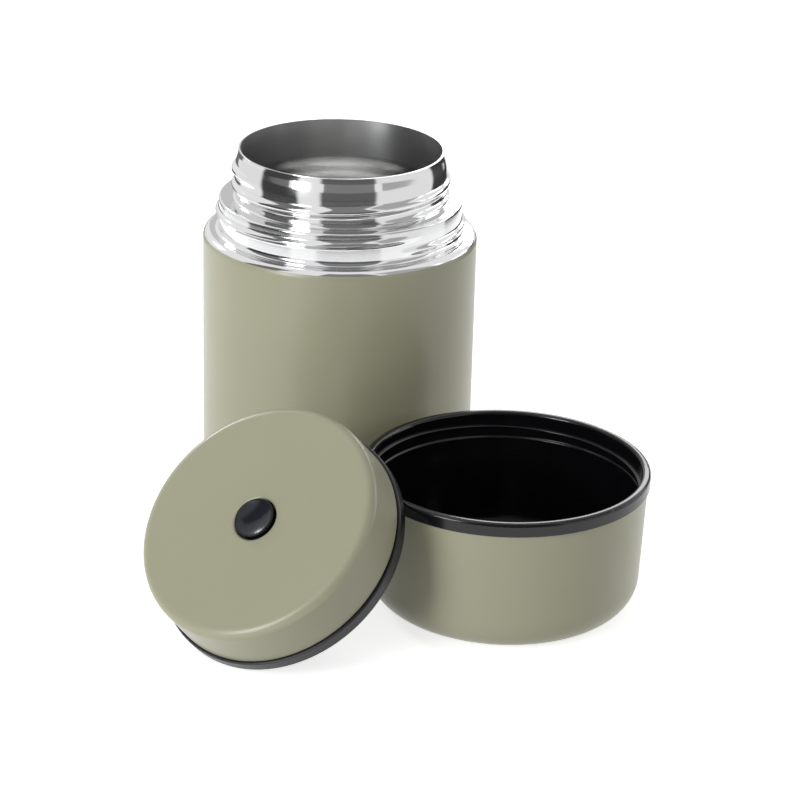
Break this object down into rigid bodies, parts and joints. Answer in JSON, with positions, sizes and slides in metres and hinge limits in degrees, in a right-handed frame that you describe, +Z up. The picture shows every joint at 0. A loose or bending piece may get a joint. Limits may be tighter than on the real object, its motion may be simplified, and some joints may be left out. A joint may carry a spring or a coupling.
{
  "type": "insulated food jar",
  "caption": "Wide-mouth vacuum food jar in sage green, shown open with its threaded steel neck bare, its vented screw lid leaning on its upright cup.",
  "frame": {"origin": "centre of the jar's base, on the table", "axes": "+Z up along the jar's axis, +X to the right and -Y towards the viewer of the picture"},
  "size_m": [0.1708, 0.2174, 0.1332],
  "materials": {
    "sage_paint": "satin sage-green paint",
    "polished_steel": "mirror-polished stainless steel",
    "liner_steel": "satin stainless steel",
    "foil": "bright foil",
    "getter_alloy": "sintered grey",
    "solder_glass": "fused bead",
    "black_moulding": "moulded black",
    "grey_moulding": "moulded dark grey",
    "button_gloss": "glossy blue-black",
    "foam": "rigid foam",
    "silicone": "matt silicone",
    "spring_wire": "bright wire"
  },
  "bodies": {
    "jar": {"outer_shell": "sage_paint", "neck_shell": "polished_steel", "inner_liner": "liner_steel", "reflective_foil": "foil", "getter": "getter_alloy", "getter_clip": "liner_steel", "base_plate": "liner_steel", "seal_bead": "solder_glass", "base_cover": "liner_steel"},
    "lid": {"lid_cover": "sage_paint", "lid_body": "black_moulding", "plug_flange": "grey_moulding", "plug_wall": "grey_moulding", "lid_insulation": "foam", "lid_inner_plate": "grey_moulding", "lid_gasket": "silicone", "valve_guide": "grey_moulding", "button_spring": "spring_wire"},
    "button": {"vent_button": "button_gloss", "valve_stem": "grey_moulding", "valve_seal": "silicone"},
    "cup": {"cup_shell": "sage_paint", "cup_liner": "black_moulding"}
  },
  "joints": [
    {"name": "lid_lift", "type": "slide", "parent": "jar", "child": "lid", "axis": [-0.4181, -0.529, 0.7385], "range_m": [0, 0.15]},
    {"name": "cup_lift", "type": "slide", "parent": "jar", "child": "cup", "axis": [0.7073, 0.3637, 0.6062], "range_m": [0, 0.15]},
    {"name": "vent_press", "type": "slide", "parent": "lid", "child": "button", "axis": [0.4181, 0.529, -0.7385], "range_m": [0, 0.0025], "stiffness_N_per_m": 600, "springref_m": -0.004, "deforming": ["button_spring"]}
  ]
}
